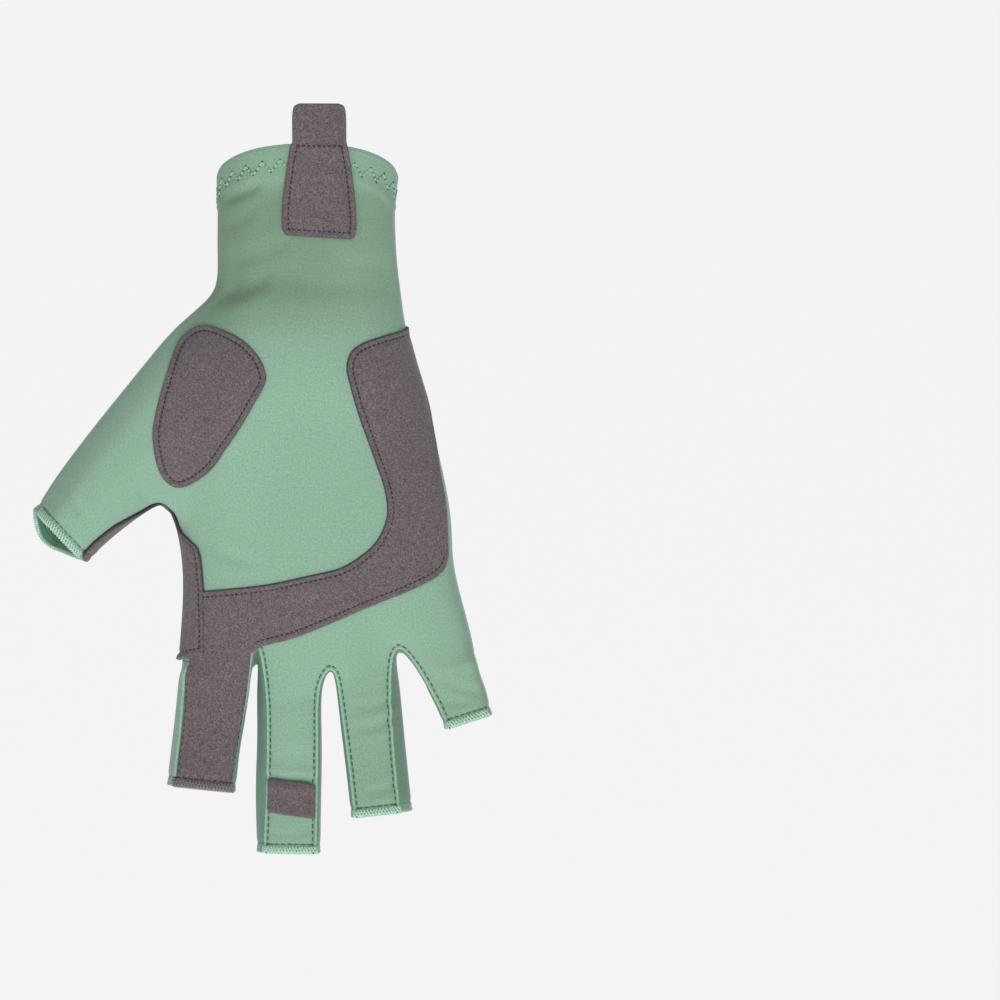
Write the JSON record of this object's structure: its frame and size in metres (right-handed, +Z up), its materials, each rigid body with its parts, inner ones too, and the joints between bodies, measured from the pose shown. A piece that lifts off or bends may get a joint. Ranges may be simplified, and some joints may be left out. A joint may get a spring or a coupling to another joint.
{
  "type": "half-finger fishing glove",
  "caption": "Right-hand half-finger sun glove for fishing, of stretch fabric with microsuede palm guards and a pull tab at the cuff.",
  "frame": {"origin": "centre of the cuff's opening, halfway up its arched rim, where the hand goes in", "axes": "+Z up through the cuff towards the forearm, with the fingers pointing down; the palm faces -Y and the back of the hand +Y; the thumb is on the -X side"},
  "size_m": [0.1461, 0.0422, 0.2384],
  "materials": {
    "stretch_fabric": "smooth mint-green knit with a soft sheen",
    "fourchette_fabric": "the same knit, in the finger sides",
    "overlock_thread": "pale overlocked edge",
    "microsuede": "matt heathered grey-brown microsuede"
  },
  "bodies": {
    "root": {"palm_panel": "stretch_fabric", "back_panel": "stretch_fabric", "fourchette_index_middle": "fourchette_fabric", "fourchette_middle_ring": "fourchette_fabric", "fourchette_ring_little": "fourchette_fabric", "thumb_hem": "overlock_thread", "index_hem": "overlock_thread", "middle_hem": "overlock_thread", "ring_hem": "overlock_thread", "little_hem": "overlock_thread", "cuff_hem": "stretch_fabric", "thumb_web_patch": "microsuede", "palm_guard": "microsuede", "thenar_patch": "microsuede", "finger_band": "microsuede", "pull_tab": "microsuede"}
  },
  "joints": []
}
